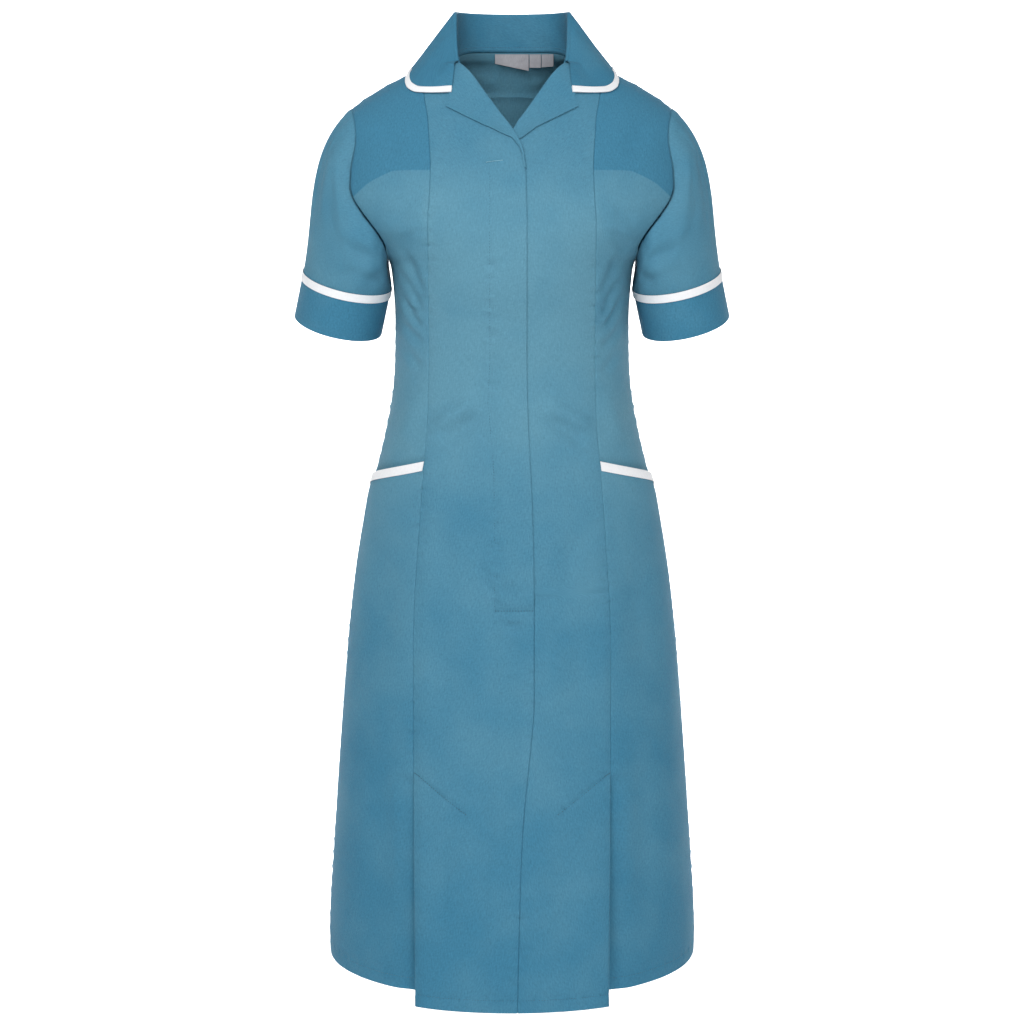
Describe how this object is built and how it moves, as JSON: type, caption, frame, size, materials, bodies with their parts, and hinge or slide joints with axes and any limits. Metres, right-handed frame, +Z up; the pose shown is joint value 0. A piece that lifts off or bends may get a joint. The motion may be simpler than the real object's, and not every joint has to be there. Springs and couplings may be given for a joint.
{
  "type": "nurse uniform dress",
  "caption": "Hollow short-sleeved tunic dress with a fold-over collar, notched lapels, a concealed fly front, pocket mouths and kick pleats, open at neck, sleeves and hem.",
  "frame": {"origin": "between the two shoulder seams at the base of the neck, level with the points where the shoulder seams meet the collar", "axes": "+Z up, -Y towards the dress's front, +X towards the wearer's left"},
  "size_m": [0.4916, 0.3607, 1.095],
  "materials": {
    "teal_poplin": "matt woven polycotton, petrol blue",
    "white_tape": "matt woven white braid and binding",
    "grey_label": "matt grey woven label, blank"
  },
  "bodies": {
    "root": {"front_right": "teal_poplin", "front_left": "teal_poplin", "facing_right": "teal_poplin", "facing_left": "teal_poplin", "side_front_right": "teal_poplin", "side_front_left": "teal_poplin", "side_skirt_right": "teal_poplin", "side_skirt_left": "teal_poplin", "kick_pleat_right": "teal_poplin", "kick_pleat_left": "teal_poplin", "sleeve_right": "teal_poplin", "sleeve_left": "teal_poplin", "cuff_right": "teal_poplin", "cuff_left": "teal_poplin", "back_yoke": "teal_poplin", "back": "teal_poplin", "collar": "teal_poplin", "pocket_trim_right": "white_tape", "pocket_trim_left": "white_tape", "sleeve_trim_right": "white_tape", "sleeve_trim_left": "white_tape", "collar_binding": "white_tape", "label": "grey_label", "size_tab_inner": "grey_label", "size_tab_outer": "grey_label"}
  },
  "joints": []
}
